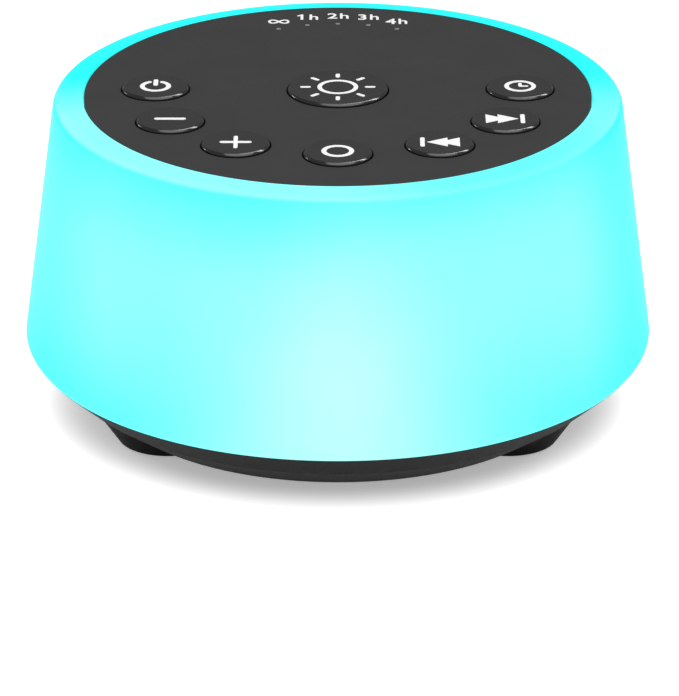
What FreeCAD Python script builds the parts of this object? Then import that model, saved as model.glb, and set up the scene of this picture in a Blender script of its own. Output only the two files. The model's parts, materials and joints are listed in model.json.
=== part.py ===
import FreeCAD, Part
import math
import os

# A bedside white noise machine with a glowing shade, in millimetres.
# The desk is z = 0, the Z axis is the machine's own axis, and the front is -Y.

Vec = FreeCAD.Vector
up = Vec(0, 0, 1)

# Outside form
panel_top_z = 59.1
panel_r = 44.7
panel_thick = 2.2
panel_gap = 0.25
rim_drop = 0.75
rim_width = 5.4
crease_cut = 0.7
shade_bottom_z = 12.6
shade_widest_r = 56.0
shade_foot_rise = 1.6
shade_foot_cut = 1.3
shade_wall = 2.4
ledge_width = 3.2
ledge_thick = 2.0

# Base bowl and its feet
base_under_z = 3.0
base_knee_z = 7.7
base_knee_inset = 5.5
base_under_inset = 6.8
base_wall = 1.8
lip_rise = 2.9
lip_thick = 1.6
lip_gap = 0.25
foot_angles = (-150, -30, 90)
foot_inset = 7.8
foot_low_r = 9.0
foot_rim_r = 10.6
foot_low_z = 0.6
pad_r = 7.6
pad_thick = 1.8
pad_gap = 0.15

# Hidden rounds are drawn with flats: so many on wide pieces and so many on narrow ones
wide_flat_count = 24
narrow_flat_count = 12
shank_flat_count = 6

# Speaker grille in the base floor: rings of six-sided holes
grille_ring_count = 3
grille_pitch = 4.4
grille_hole_flats = 3.2
cloth_thick = 0.2
cloth_gap = 0.3

# Screws: (head radius, head height, shank radius)
large_screw = (2.6, 1.8, 1.4)
small_screw = (2.0, 1.2, 1.0)
clear_gap = 0.3
thread_gap = 0.05
screw_end_room = 1.2

# Base to core fixing
pillar_angles = (30, 150, 270)
pillar_inset = 2.4
pillar_r = 4.6
pillar_rise = 4.2
pillar_top_wall = 1.9
post_r = 3.6
base_screw_length = 10.0

# Core housing, the white drum inside the shade
flange_reach = 13.05
core_wall = 1.8
flange_rise = 1.4
flange_thick = 1.6
flange_gap = 1.3
web_thick = 2.0
post_overlap = 8.0
clamp_rear_angles = (49.5, 130.5)
clamp_rear_inset = 4.65
clamp_front_y = -16.0
clamp_boss_r = 3.2
clamp_boss_length = 10.4
core_screw_length = 8.0

# Boards
board_thick = 1.6
board_boss_places = ((-18.0, 13.0), (18.0, 13.0), (-14.0, -11.5), (14.0, -11.5))
board_boss_r = 2.6
board_boss_length = 7.3
control_board_gap = 2.25
main_board_y = 44.0
main_board_gap = 2.64
standoff_inset_x = 4.0
standoff_inset_y = 5.0
standoff_r = 2.5
standoff_length = 6.5
board_screw_length = 5.0

# Parts on the main board: (x size, y size, height)
controller_size = (9.0, 9.0, 1.4)
controller_place = (-11.0, -6.0)
memory_size = (6.0, 5.0, 1.6)
memory_place = (9.0, -8.0)
crystal_size = (5.0, 3.2, 1.2)
crystal_place = (-11.0, 3.5)
amplifier_size = (10.0, 4.5, 1.5)
amplifier_place = (-9.0, -6.0)
capacitor_r = 3.0
capacitor_length = 6.5
capacitor_step = 11.0
capacitor_rows = (-8.0, 0.0, 8.0)

# Small buttons: (distance in from the panel's edge, angle). The large one is near the middle.
button_spots = {
    "power": (12.5, 177.3),
    "volume_down": (12.1, 206.8),
    "volume_up": (13.4, 236.0),
    "play": (14.5, 270.0),
    "previous": (13.4, 304.0),
    "next": (12.1, 333.2),
    "timer": (12.5, 2.7),
}
light_button_y = 1.1
small_button_r = 5.92
light_button_r = 8.86
button_proud = 0.6
button_gap = 0.2
button_chamfer = 0.4
button_lug_reach = 1.5
button_lug_width = 3.2
button_lug_thick = 0.9
button_lug_gap = 0.1
button_post_side = 3.4
button_travel = 0.5

# Switch under each button
switch_side = 6.0
switch_height = 3.5
plunger_side = 2.4
plunger_gap = 0.15
plunger_proud = 1.5
plunger_depth = 1.6

# Timer lights along an arc near the rear edge
pip_inset = 8.9
pip_arc_r = 22.3
pip_step = 14.45
pip_r = 0.45
pip_gap = 0.1
guide_width = 3.2
guide_thick = 1.8
guide_leg_side = 1.6
timer_led_size = (1.6, 0.8, 0.6)
timer_led_gap = 0.4

# Mood light ring
ring_board_thick = 1.2
ring_board_gap = 0.5
mood_led_count = 12
mood_led_side = 5.0
mood_led_height = 1.6
mood_led_inset = 6.05
peg_angles = (45, 135, 225, 315)
peg_r = 1.2
peg_gap = 0.1
peg_proud = 0.8

# Speaker, face down over the grille
speaker_rim = 2.4
speaker_corner = 4.0
speaker_seat_rise = 2.5
speaker_mouth_gap = 0.3
speaker_screw_inset = 3.4
gasket_thick = 0.5
frame_thick = 1.0
frame_back_rise = 8.0
frame_back_thick = 0.8
frame_skirt_r = 17.9
frame_back_r = 12.4
frame_window_width = 13.0
frame_window_height = 4.2
surround_inset = 0.4
surround_width = 3.3
surround_thick = 0.3
surround_roll = 0.8
cone_lap = 0.9
cone_thick = 0.5
cone_depth = 3.8
coil_r = 7.75
coil_thick = 0.5
coil_length = 7.2
coil_gap = 0.45
cap_dip = 1.1
cap_thick = 0.3
spider_rise = 5.6
spider_thick = 0.3
pot_rise = 7.4
pot_wall = 1.6
pot_back = 1.8
plate_thick = 1.8
magnet_thick = 3.4
pot_gap = 0.05
speaker_screw_length = 3.6
terminal_width = 9.0
terminal_depth = 2.0

# Power inlet at the rear
inlet_set_back = 11.2
inlet_rise = 3.5
pocket_width = 13.6
pocket_height = 6.7
pocket_round = 2.0
pocket_wall = 2.0
socket_width = 8.94
socket_height = 3.26
socket_depth = 7.3
socket_wall = 0.3
socket_back = 0.6
socket_gap = 0.18
tongue_width = 6.7
tongue_thick = 0.7
tongue_short = 0.6
inlet_board_thick = 1.2
inlet_board_width = 14.0
inlet_board_length = 12.0
inlet_board_gap = 0.3
clip_width = 4.0
clip_thick = 1.4
clip_hook = 0.6

# Wiring: flat leads with rounded bends
lead_thick = 1.1
lead_round = 3.0
two_core_width = 2.6
four_core_width = 4.8
connector_height = 4.4
connector_side = 1.5
ribbon_width = 9.0
ribbon_thick = 0.5
ribbon_round = 1.2
ribbon_shift = 2.0
header_height = 2.4
header_width = 11.0
header_depth = 3.0
light_slot_height = 6.0
light_lead_drop = 6.5

# Heights and places that follow from the sizes above
panel_under = panel_top_z - panel_thick
crease_z = panel_top_z - rim_drop
control_board_top = panel_under - board_boss_length
control_board_under = control_board_top - board_thick
web_top = panel_under - clamp_boss_length
web_under = web_top - web_thick
main_board_top = web_under - standoff_length
main_board_under = main_board_top - board_thick
floor_top = base_under_z + base_wall
base_top_r = shade_widest_r - shade_foot_cut
base_knee_r = base_top_r - base_knee_inset
base_under_r = base_knee_r - base_under_inset
foot_place_r = base_under_r - foot_inset
pillar_top = floor_top + pillar_rise
flange_under = shade_bottom_z + flange_rise
flange_top = flange_under + flange_thick
lip_top = shade_bottom_z + lip_rise
gasket_z = floor_top + speaker_seat_rise
frame_z = gasket_z + gasket_thick
switch_top = control_board_top + switch_height
plunger_top = switch_top + plunger_proud
inlet_face_y = base_top_r - inlet_set_back
inlet_z = floor_top + inlet_rise
inlet_board_top = inlet_z - socket_height / 2
connector_under = main_board_under - connector_height
light_lead_z = connector_under - light_lead_drop
crease_r = panel_r + rim_width
ledge_r = panel_r + panel_gap - ledge_width
control_board_r = ledge_r - control_board_gap
pip_arc_centre_y = panel_r - pip_inset - pip_arc_r
speaker_side = 2 * (frame_skirt_r + speaker_rim)
speaker_screw_place = speaker_side / 2 - speaker_screw_inset
surround_out_r = frame_skirt_r - surround_inset
surround_in_r = surround_out_r - surround_width
speaker_mouth_r = surround_out_r + speaker_mouth_gap
cone_out_r = surround_in_r + cone_lap


def polar(radius, degrees):
    angle = math.radians(degrees)
    return radius * math.cos(angle), radius * math.sin(angle)


def rod(place, low, high, radius):
    return Part.makeCylinder(radius, high - low, Vec(place[0], place[1], low))


def prism(place, low, high, radius, flats):
    corners = [polar(radius, 360 * i / flats) for i in range(flats)]
    solid = raised(corners, low, high)
    solid.translate(Vec(place[0], place[1], 0))
    return solid


def block(place, low, high, x_size, y_size):
    corner = Vec(place[0] - x_size / 2, place[1] - y_size / 2, low)
    return Part.makeBox(x_size, y_size, high - low, corner)


def outline(corners):
    # A closed outline in the XZ plane. A third number on a corner rounds it.
    starts = []
    ends = []
    arcs = []
    for i, corner in enumerate(corners):
        here = Vec(corner[0], 0, corner[1])
        last = corners[i - 1]
        following = corners[(i + 1) % len(corners)]
        back = (Vec(last[0], 0, last[1]) - here).normalize()
        ahead = (Vec(following[0], 0, following[1]) - here).normalize()
        start = here
        end = here
        if len(corner) > 2:
            half = back.getAngle(ahead) / 2
            start = here + back * (corner[2] / math.tan(half))
            end = here + ahead * (corner[2] / math.tan(half))
            inward = (back + ahead).normalize()
            middle = here + inward * (corner[2] / math.sin(half) - corner[2])
            arcs.append(Part.Arc(start, middle, end).toShape())
        starts.append(start)
        ends.append(end)
    lines = []
    for i, end in enumerate(ends):
        lines.append(Part.makeLine(end, starts[(i + 1) % len(starts)]))
    return Part.Wire(Part.__sortEdges__(lines + arcs))


def turned(corners):
    face = Part.Face(outline(corners))
    return face.revolve(Vec(0, 0, 0), up, 360)


def turned_flats(corners):
    # The same with wide_flat_count sides: planar faces between neighbouring corners.
    rings = []
    for radius, height in corners:
        places = [polar(radius, 360 * i / wide_flat_count) for i in range(wide_flat_count)]
        rings.append([Vec(x, y, height) for x, y in places])
    faces = []
    for near, far in zip(rings, rings[1:] + rings[:1]):
        for i in range(wide_flat_count):
            spots = [near[i - 1], near[i], far[i], far[i - 1]]
            spots = [spot for n, spot in enumerate(spots) if spot.distanceToPoint(spots[n - 1]) > 0.001]
            if len(spots) > 2:
                faces.append(Part.Face(Part.makePolygon(spots + spots[:1])))
    solid = Part.makeSolid(Part.makeShell(faces))
    if solid.Volume < 0:
        solid.reverse()
    return solid.removeSplitter()


def raised(corners, low, high):
    # A flat outline in X and Y, drawn up from one height to another.
    face = Part.Face(outline(corners))
    face.rotate(Vec(0, 0, 0), Vec(1, 0, 0), -90)
    face.translate(Vec(0, 0, low))
    return face.extrude(Vec(0, 0, high - low))


def flat_lead(path, thick, width, bend):
    # A flat lead along a path of (across, height) points in the XZ plane.
    sides = []
    for offset in (thick / 2, -thick / 2):
        side = []
        for i, point in enumerate(path):
            here = Vec(point[0], 0, point[1])
            before = path[max(i - 1, 0)]
            after = path[min(i + 1, len(path) - 1)]
            came = here - Vec(before[0], 0, before[1])
            goes = Vec(after[0], 0, after[1]) - here
            if came.Length == 0:
                came = Vec(goes)
            if goes.Length == 0:
                goes = Vec(came)
            came.normalize()
            goes.normalize()
            normal_in = Vec(-came.z, 0, came.x)
            normal_out = Vec(-goes.z, 0, goes.x)
            turn = came.getAngle(goes)
            across = (normal_in + normal_out).normalize()
            spot = here + across * (offset / math.cos(turn / 2))
            if turn < 0.01:
                side.append((spot.x, spot.z))
                continue
            leftward = came.z * goes.x - came.x * goes.z < 0
            wider = -offset if leftward else offset
            side.append((spot.x, spot.z, bend + wider))
        sides.append(side)
    corners = sides[0] + sides[1][::-1]
    face = Part.Face(outline(corners))
    face.translate(Vec(0, -width / 2, 0))
    return face.extrude(Vec(0, width, 0))


def screw(place, head_low, size, length, head_down=True):
    # The head's flat under side meets the piece it holds.
    head_r, head_height, shank_r = size
    seat = head_low + head_height
    shank = prism(place, seat, seat + length, shank_r, shank_flat_count)
    if not head_down:
        seat = head_low
        shank = prism(place, seat - length, seat, shank_r, shank_flat_count)
    head = prism(place, head_low, head_low + head_height, head_r, narrow_flat_count)
    return head.fuse(shank)


def one_piece(first, others):
    # Joins what is moulded or pressed as one piece.
    joined = first.fuse(others).removeSplitter()
    return joined.Solids[0] if len(joined.Solids) == 1 else joined


def group(solids):
    return Part.makeCompound(solids)


def line_through(start, end, shift):
    # The line from start to end, moved to its left by shift.
    length = math.hypot(end[0] - start[0], end[1] - start[1])
    way = ((end[0] - start[0]) / length, (end[1] - start[1]) / length)
    return (start[0] - way[1] * shift, start[1] + way[0] * shift), way


def at_height(line, height):
    point, way = line
    return point[0] + (height - point[1]) * way[0] / way[1]


def at_radius(line, radius):
    point, way = line
    return point[1] + (radius - point[0]) * way[1] / way[0]


def crossing(first, second):
    # Where two lines meet.
    (start, way), (other, other_way) = first, second
    turn = way[0] * other_way[1] - way[1] * other_way[0]
    along = (other[0] - start[0]) * other_way[1] - (other[1] - start[1]) * other_way[0]
    return start[0] + way[0] * along / turn, start[1] + way[1] * along / turn


shade_foot_z = shade_bottom_z + shade_foot_rise
shade_side = line_through((shade_widest_r, shade_foot_z), (crease_r, crease_z), shade_wall)
shade_skin = line_through((shade_widest_r, shade_foot_z), (crease_r, crease_z), 0)
shade_rim = line_through((crease_r, crease_z), (panel_r + panel_gap, panel_top_z), 0)
lip_outer_r = at_height(shade_side, lip_top) - lip_gap
lip_inner_r = lip_outer_r - lip_thick
flange_r = lip_inner_r - flange_gap
core_r = flange_r - flange_reach
pillar_place_r = core_r - pillar_inset
mood_led_place_r = flange_r - mood_led_inset


# Shade

def diffuser_shade():
    seat_r = panel_r + panel_gap
    ledge_under = panel_under - ledge_thick
    outside = turned([
        (0, shade_bottom_z),
        (shade_widest_r - shade_foot_cut, shade_bottom_z),
        (shade_widest_r, shade_foot_z),
        (at_height(shade_skin, crease_z - crease_cut), crease_z - crease_cut),
        (crease_r - crease_cut, at_radius(shade_rim, crease_r - crease_cut)),
        (seat_r, panel_top_z),
        (seat_r, panel_under),
        (ledge_r, panel_under),
        (ledge_r, ledge_under),
        (0, ledge_under),
    ])
    return outside.cut(turned_flats([
        (0, shade_bottom_z),
        (at_height(shade_side, shade_bottom_z), shade_bottom_z),
        (at_height(shade_side, ledge_under), ledge_under),
        (0, ledge_under),
    ]))


# Base

lower_side = line_through((base_under_r, base_under_z), (base_knee_r, base_knee_z), base_wall)
upper_side = line_through((base_knee_r, base_knee_z), (base_top_r, shade_bottom_z), base_wall)


def base_form():
    return turned([
        (0, base_under_z),
        (base_under_r, base_under_z),
        (base_knee_r, base_knee_z),
        (base_top_r, shade_bottom_z),
        (0, shade_bottom_z),
    ])


def base_hollow():
    # Inside the lip the wall runs down parallel to the outside, as far as the floor.
    inner_knee = crossing(lower_side, upper_side)
    corners = [(0, floor_top), (at_height(lower_side, floor_top), floor_top)]
    wall = lower_side
    if inner_knee[0] < lip_inner_r:
        corners.append(inner_knee)
        wall = upper_side
    corners.append((lip_inner_r, at_radius(wall, lip_inner_r)))
    return turned_flats(corners + [(lip_inner_r, lip_top), (0, lip_top)])


def foot_body(place):
    spread = (foot_rim_r - foot_low_r) / (base_under_z - foot_low_z)
    top_z = base_knee_z - base_wall / 2
    top_r = foot_low_r + spread * (top_z - foot_low_z)
    return Part.makeCone(foot_low_r, top_r, top_z - foot_low_z, Vec(place[0], place[1], foot_low_z))


def grille_holes():
    holes = []
    corner_r = grille_hole_flats / math.sqrt(3)
    corners = [polar(corner_r, 60 * i + 30) for i in range(6)]
    for row in range(-grille_ring_count, grille_ring_count + 1):
        for step in range(-grille_ring_count, grille_ring_count + 1):
            if abs(row + step) > grille_ring_count:
                continue
            hole = raised(corners, base_under_z - 1, floor_top + 1)
            x = grille_pitch * (step + row / 2)
            y = grille_pitch * row * math.sqrt(3) / 2
            hole.translate(Vec(x, y, 0))
            holes.append(hole)
    return holes


def speaker_square(low, high):
    half = speaker_side / 2
    cut = speaker_corner
    corners = [
        (half, cut - half), (half, half - cut), (half - cut, half), (cut - half, half),
        (-half, half - cut), (-half, cut - half), (cut - half, -half), (half - cut, -half),
    ]
    return raised(corners, low, high)


def speaker_screw_places():
    near = speaker_screw_place
    return [(near, near), (-near, near), (-near, -near), (near, -near)]


def speaker_seat():
    seat = speaker_square(floor_top, gasket_z)
    return seat.cut(prism((0, 0), floor_top, gasket_z, speaker_mouth_r, wide_flat_count))


def inlet_surround(bowl_form):
    # The bowl's wall is thick round the inlet, so that the pocket has sides and a flat face.
    front = inlet_face_y - base_wall
    thick = Part.makeBox(
        pocket_width + 2 * pocket_wall, base_top_r - front, shade_bottom_z - base_under_z,
        Vec(-pocket_width / 2 - pocket_wall, front, base_under_z),
    )
    return thick.common(bowl_form)


def inlet_pocket():
    half_x = pocket_width / 2
    half_z = pocket_height / 2
    face = Part.Face(outline([
        (-half_x, inlet_z - half_z, pocket_round), (half_x, inlet_z - half_z, pocket_round),
        (half_x, inlet_z + half_z, pocket_round), (-half_x, inlet_z + half_z, pocket_round),
    ]))
    face.translate(Vec(0, inlet_face_y, 0))
    return face.extrude(Vec(0, base_top_r - inlet_face_y + 1, 0))


def socket_form(shrink, front, back):
    # A flat tube with round ends, lying along Y.
    half_x = socket_width / 2 - shrink
    half_z = socket_height / 2 - shrink
    round_r = half_z * 0.999
    face = Part.Face(outline([
        (-half_x, inlet_z - half_z, round_r), (half_x, inlet_z - half_z, round_r),
        (half_x, inlet_z + half_z, round_r), (-half_x, inlet_z + half_z, round_r),
    ]))
    face.translate(Vec(0, back, 0))
    return face.extrude(Vec(0, front - back, 0))


def inlet_board_rear():
    return inlet_face_y - base_wall - inlet_board_gap


def inlet_board_middle():
    return 0, inlet_board_rear() - inlet_board_length / 2


def inlet_board_under():
    return inlet_board_top - inlet_board_thick


def inlet_clips():
    # Two ribs carry the inlet board and two hooked clips hold its sides.
    x, y = inlet_board_middle()
    pieces = []
    for side in (-1, 1):
        rib = (side * inlet_board_width / 4, y)
        pieces.append(block(rib, floor_top, inlet_board_under(), clip_thick, inlet_board_length))
        clip_x = side * (inlet_board_width / 2 + inlet_board_gap + clip_thick / 2)
        hook_x = clip_x - side * clip_hook / 2
        hook_low = inlet_board_top + thread_gap
        hook_high = hook_low + clip_hook
        pieces.append(block((clip_x, y), floor_top, hook_high, clip_thick, clip_width))
        pieces.append(block((hook_x, y), hook_low, hook_high, clip_thick + clip_hook, clip_width))
    return pieces


def base_screw_seat():
    return pillar_top - pillar_top_wall


def base_housing():
    bowl_form = base_form()
    hollow = base_hollow()
    lip = prism((0, 0), shade_bottom_z, lip_top, lip_outer_r, wide_flat_count)
    feet = [foot_body(polar(foot_place_r, a)).cut(hollow) for a in foot_angles]
    places = [polar(pillar_place_r, a) for a in pillar_angles]
    pillars = [prism(p, base_under_z, pillar_top, pillar_r, narrow_flat_count) for p in places]
    added = feet + pillars + [speaker_seat(), inlet_surround(bowl_form)] + inlet_clips()
    solid = bowl_form.fuse(lip).cut(hollow).fuse(added)
    head_r, head_height, shank_r = large_screw
    counterbore_r = (head_r + clear_gap) / math.cos(math.pi / narrow_flat_count)
    cuts = grille_holes()
    for angle in foot_angles:
        cuts.append(prism(polar(foot_place_r, angle), -1, pad_thick, pad_r + pad_gap, wide_flat_count))
    for angle in pillar_angles:
        place = polar(pillar_place_r, angle)
        cuts.append(prism(place, base_under_z - 1, base_screw_seat(), counterbore_r, narrow_flat_count))
        cuts.append(prism(place, base_under_z, pillar_top + 1, shank_r + clear_gap, narrow_flat_count))
    pilot_low = frame_z - speaker_screw_length - screw_end_room / 2
    pilot_r = small_screw[2] + thread_gap
    for place in speaker_screw_places():
        cuts.append(prism(place, pilot_low, gasket_z + 1, pilot_r, shank_flat_count))
    cuts.append(inlet_pocket())
    cuts.append(socket_form(-socket_gap, inlet_face_y + 1, inlet_face_y - base_wall - 1))
    return one_piece(solid.cut(cuts), [])


def foot_pad(angle):
    return prism(polar(foot_place_r, angle), 0, pad_thick, pad_r, wide_flat_count)


def grille_cloth():
    return prism((0, 0), floor_top, floor_top + cloth_thick, speaker_mouth_r - cloth_gap, wide_flat_count)


def base_screws():
    head_low = base_screw_seat() - large_screw[1]
    places = [polar(pillar_place_r, a) for a in pillar_angles]
    return group([screw(p, head_low, large_screw, base_screw_length) for p in places])


# Core

def core_post(place):
    post = prism(place, pillar_top, flange_top + post_overlap, post_r, narrow_flat_count)
    return post.common(prism((0, 0), pillar_top, web_top, core_r, wide_flat_count))


def clamp_places():
    rear = [polar(core_r - clamp_rear_inset, a) for a in clamp_rear_angles]
    return rear + [(0, clamp_front_y)]


def main_board_x():
    # The board's corners keep clear of the drum's wall.
    corner_r = core_r - core_wall - main_board_gap
    return 2 * math.sqrt(corner_r ** 2 - (main_board_y / 2) ** 2)


def standoff_places():
    x = main_board_x() / 2 - standoff_inset_x
    y = main_board_y / 2 - standoff_inset_y
    return [(-x, -y), (-x, y), (x, -y), (x, y)]


def ribbon_slot_y():
    return header_depth + ribbon_shift * 2


def core_housing():
    inner_r = core_r - core_wall
    drum = turned_flats([
        (inner_r, flange_under), (flange_r, flange_under), (flange_r, flange_top),
        (core_r, flange_top), (core_r, web_top), (0, web_top), (0, web_under), (inner_r, web_under),
    ])
    added = [core_post(polar(pillar_place_r, a)) for a in pillar_angles]
    added += [prism(p, main_board_top, web_under, standoff_r, narrow_flat_count) for p in standoff_places()]
    peg_top = flange_top + ring_board_thick + peg_proud
    pegs = [polar(mood_led_place_r, a) for a in peg_angles]
    added += [prism(p, flange_top, peg_top, peg_r, narrow_flat_count) for p in pegs]
    cuts = []
    screw_r = large_screw[2] + thread_gap
    for angle in pillar_angles:
        high = base_screw_seat() + base_screw_length + screw_end_room
        cuts.append(prism(polar(pillar_place_r, angle), pillar_top - 1, high, screw_r, shank_flat_count))
    for place in clamp_places():
        cuts.append(prism(place, web_under - 1, web_top + 1, small_screw[2] + clear_gap, shank_flat_count))
    for place in standoff_places():
        high = main_board_under + board_screw_length + screw_end_room
        cuts.append(prism(place, main_board_top - 1, high, small_screw[2] + thread_gap, shank_flat_count))
    slot_low = light_lead_z - light_slot_height / 2
    slot_width = four_core_width + light_slot_height / 2
    cuts.append(block((core_r, 0), slot_low, slot_low + light_slot_height, 4 * core_wall, slot_width))
    slot_place = (0, control_header_y())
    slot_x = header_width + 2 * clip_thick
    cuts.append(block(slot_place, web_under - 1, web_top + 1, slot_x, ribbon_slot_y()))
    return one_piece(drum.fuse(added).cut(cuts), [])


def core_screws():
    low = web_under - small_screw[1]
    return group([screw(p, low, small_screw, core_screw_length) for p in clamp_places()])


def light_ring_board():
    inner_r = core_r + ring_board_gap
    top = flange_top + ring_board_thick
    ring = prism((0, 0), flange_top, top, flange_r, wide_flat_count)
    cuts = [prism((0, 0), flange_top, top, inner_r, wide_flat_count)]
    pegs = [polar(mood_led_place_r, a) for a in peg_angles]
    cuts += [prism(p, flange_top, top, peg_r + peg_gap, narrow_flat_count) for p in pegs]
    return ring.cut(cuts)


def mood_leds():
    low = flange_top + ring_board_thick
    leds = []
    for i in range(mood_led_count):
        led = block((mood_led_place_r, 0), low, low + mood_led_height, mood_led_side, mood_led_side)
        led.rotate(Vec(0, 0, 0), up, 360 * i / mood_led_count)
        leds.append(led)
    return group(leds)


# Top panel, buttons and switches

def button_r(name):
    return light_button_r if name == "light" else small_button_r


def button_places():
    places = {"light": (0, light_button_y)}
    for name, spot in button_spots.items():
        inset, angle = spot
        places[name] = polar(panel_r - inset, angle)
    return places


def pip_places():
    places = []
    for i in range(-2, 3):
        x, y = polar(pip_arc_r, 90 - pip_step * i)
        places.append((x, y + pip_arc_centre_y))
    return places


def top_panel():
    plate = rod((0, 0), panel_under, panel_top_z, panel_r)
    flats = narrow_flat_count
    bosses = [prism(p, control_board_top, panel_under, board_boss_r, flats) for p in board_boss_places]
    bosses += [prism(p, web_top, panel_under, clamp_boss_r, flats) for p in clamp_places()]
    cuts = []
    for name, place in button_places().items():
        cuts.append(rod(place, panel_under - 1, panel_top_z + 1, button_r(name) + button_gap))
    for place in pip_places():
        cuts.append(prism(place, panel_under - 1, panel_top_z + 1, pip_r + pip_gap, narrow_flat_count))
    pilot_r = small_screw[2] + thread_gap
    for place in board_boss_places:
        high = control_board_under + board_screw_length + screw_end_room
        cuts.append(prism(place, control_board_top - 1, high, pilot_r, shank_flat_count))
    for place in clamp_places():
        high = web_under + core_screw_length + screw_end_room
        cuts.append(prism(place, web_top - 1, high, pilot_r, shank_flat_count))
    return one_piece(plate.fuse(bosses).cut(cuts), [])


def button_cap(name):
    place = button_places()[name]
    radius = button_r(name)
    lug_top = panel_under - button_lug_gap
    lug_low = lug_top - button_lug_thick
    top = panel_top_z + button_proud
    cap = turned([
        (0, lug_low), (radius, lug_low), (radius, top - button_chamfer),
        (radius - button_chamfer, top), (0, top),
    ])
    lugs = []
    for angle in (90, 210, 330):
        reach = radius + button_lug_reach
        lug = block((reach / 2, 0), lug_low, lug_top, reach, button_lug_width)
        lug.rotate(Vec(0, 0, 0), up, angle)
        lugs.append(lug)
    post = block((0, 0), plunger_top, lug_low, button_post_side, button_post_side)
    cap = one_piece(cap, lugs + [post])
    cap.translate(Vec(place[0], place[1], 0))
    return cap


def switch_plunger(name):
    low = switch_top - plunger_depth
    return block(button_places()[name], low, plunger_top, plunger_side, plunger_side)


def tact_switches():
    switches = []
    well_side = plunger_side + 2 * plunger_gap
    well_low = switch_top - plunger_depth - button_travel - plunger_gap
    for place in button_places().values():
        body = block(place, control_board_top, switch_top, switch_side, switch_side)
        well = block(place, well_low, switch_top, well_side, well_side)
        switches.append(body.cut(well))
    return group(switches)


def control_board():
    low = control_board_under
    high = control_board_top
    board = prism((0, 0), low, high, control_board_r, wide_flat_count)
    cuts = [prism(p, low, high, small_screw[2] + clear_gap, shank_flat_count) for p in board_boss_places]
    cuts += [prism(p, low, high, clamp_boss_r + clear_gap, narrow_flat_count) for p in clamp_places()]
    return board.cut(cuts)


def control_board_screws():
    low = control_board_under - small_screw[1]
    return group([screw(p, low, small_screw, board_screw_length) for p in board_boss_places])


def timer_leds():
    x_size, y_size, height = timer_led_size
    top = control_board_top + height
    return group([block(p, control_board_top, top, x_size, y_size) for p in pip_places()])


def indicator_light_guide():
    # A curved strip under the panel, with a pin up through each hole and a leg down to each light.
    low = panel_under - guide_thick
    half = guide_width / 2
    centre = Vec(0, pip_arc_centre_y, low)
    sweep = 4 * pip_step + math.degrees(guide_width / pip_arc_r)
    strip = Part.makeCylinder(pip_arc_r + half, guide_thick, centre, up, sweep)
    strip = strip.cut(Part.makeCylinder(pip_arc_r - half, guide_thick, centre, up, sweep))
    strip.rotate(centre, up, 90 - sweep / 2)
    leg_low = control_board_top + timer_led_size[2] + timer_led_gap
    pieces = [prism(p, low, panel_top_z, pip_r, narrow_flat_count) for p in pip_places()]
    pieces += [block(p, leg_low, low, guide_leg_side, guide_leg_side) for p in pip_places()]
    return one_piece(strip, pieces)


# Main board

def control_header_y():
    return header_depth * 3


def inlet_lead_y():
    return main_board_y / 2 - header_depth


def light_lead_x():
    return main_board_x() / 2 - header_depth


def main_board():
    board = block((0, 0), main_board_under, main_board_top, main_board_x(), main_board_y)
    low = main_board_under
    high = main_board_top
    holes = [prism(p, low, high, small_screw[2] + clear_gap, shank_flat_count) for p in standoff_places()]
    return board.cut(holes)


def main_board_screws():
    low = main_board_under - small_screw[1]
    return group([screw(p, low, small_screw, board_screw_length) for p in standoff_places()])


def board_connectors():
    # Sockets under the board for the inlet, speaker and light leads, and the headers of the ribbon.
    low = connector_under
    depth = header_depth + connector_side
    width = two_core_width + 2 * connector_side
    inlet = block((0, inlet_lead_y()), low, main_board_under, width, depth)
    speaker = block((0, -inlet_lead_y()), low, main_board_under, width, depth)
    width = four_core_width + 2 * connector_side
    light = block((light_lead_x(), 0), low, main_board_under, depth, width)
    lower_y = control_header_y() - ribbon_shift
    lower = block((0, lower_y), main_board_top, main_board_top + header_height, header_width, header_depth)
    upper_low = control_board_under - header_height
    upper = block((0, control_header_y()), upper_low, control_board_under, header_width, header_depth)
    return group([inlet, speaker, light, lower, upper])


def board_chip(place, size, under=False):
    x_size, y_size, height = size
    low = main_board_under - height if under else main_board_top
    return block(place, low, low + height, x_size, y_size)


def board_chips():
    return group([
        board_chip(controller_place, controller_size),
        board_chip(memory_place, memory_size),
        board_chip(crystal_place, crystal_size),
        board_chip(amplifier_place, amplifier_size, under=True),
    ])


def board_capacitors():
    low = main_board_under - capacitor_length
    places = [(light_lead_x() - capacitor_step, y) for y in capacitor_rows]
    return group([prism(p, low, main_board_under, capacitor_r, narrow_flat_count) for p in places])


# Power inlet

def usb_c_socket():
    back = inlet_face_y - socket_depth
    shell = socket_form(0, inlet_face_y, back)
    return shell.cut(socket_form(socket_wall, inlet_face_y + 1, back + socket_back))


def usb_c_tongue():
    back = inlet_face_y - socket_depth + socket_back
    front = inlet_face_y - tongue_short
    middle = (0, (back + front) / 2)
    low = inlet_z - tongue_thick / 2
    return block(middle, low, low + tongue_thick, tongue_width, front - back)


def inlet_board():
    low = inlet_board_under()
    return block(inlet_board_middle(), low, inlet_board_top, inlet_board_width, inlet_board_length)


# Wiring

def quarter_turned(shape):
    # From the XZ plane to the YZ plane.
    shape.rotate(Vec(0, 0, 0), up, 90)
    return shape


def inlet_leads():
    board_y = inlet_board_middle()[1] - inlet_board_length / 4
    end_y = inlet_lead_y()
    low_bend = inlet_board_top + 3 * lead_round
    high_bend = connector_under - 2 * lead_round
    path = [(board_y, inlet_board_top), (board_y, low_bend), (end_y, high_bend), (end_y, connector_under)]
    return quarter_turned(flat_lead(path, lead_thick, two_core_width, lead_round))


def terminal_y():
    return -(speaker_side / 2 + frame_skirt_r) / 2


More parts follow.
